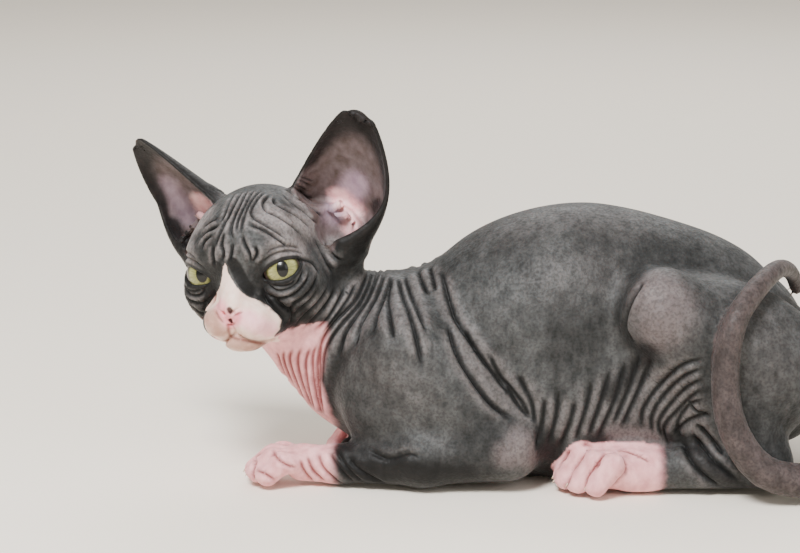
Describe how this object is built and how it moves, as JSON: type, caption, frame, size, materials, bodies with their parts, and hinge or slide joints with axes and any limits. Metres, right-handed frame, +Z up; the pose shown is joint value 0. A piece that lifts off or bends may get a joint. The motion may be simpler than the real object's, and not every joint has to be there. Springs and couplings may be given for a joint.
{
  "type": "sphynx cat",
  "caption": "Life-size still model of a young hairless cat lying with its head turned aside, large cupped ears up and its tail curled round one thigh.",
  "frame": {"origin": "on the floor, under the middle of the cat's bounding box", "axes": "-X the way the body faces, -Y the cat's left, +Z up"},
  "size_m": [0.3946, 0.1552, 0.1953],
  "materials": {
    "skin": "matte grey mottled skin with very short down",
    "pink_skin": "matte pink skin of the feet",
    "ear_skin": "thin skin, pinkish brown with a dark edge",
    "eye": "wet gloss"
  },
  "bodies": {
    "root": {"head": "skin", "eye_left": "eye", "eye_right": "eye", "ear_left": "ear_skin", "ear_right": "ear_skin", "neck": "skin", "chest": "skin", "abdomen": "skin", "rump": "skin", "upper_arm_left": "skin", "upper_arm_right": "skin", "forearm_left": "skin", "forearm_right": "skin", "fore_paw_left": "pink_skin", "fore_paw_right": "pink_skin", "thigh_left": "skin", "thigh_right": "skin", "hind_foot_left": "skin", "hind_foot_right": "skin", "hind_paw_left": "pink_skin", "hind_paw_right": "pink_skin", "tail_1": "skin", "tail_2": "skin", "tail_3": "skin", "tail_4": "skin", "tail_5": "skin"}
  },
  "joints": []
}
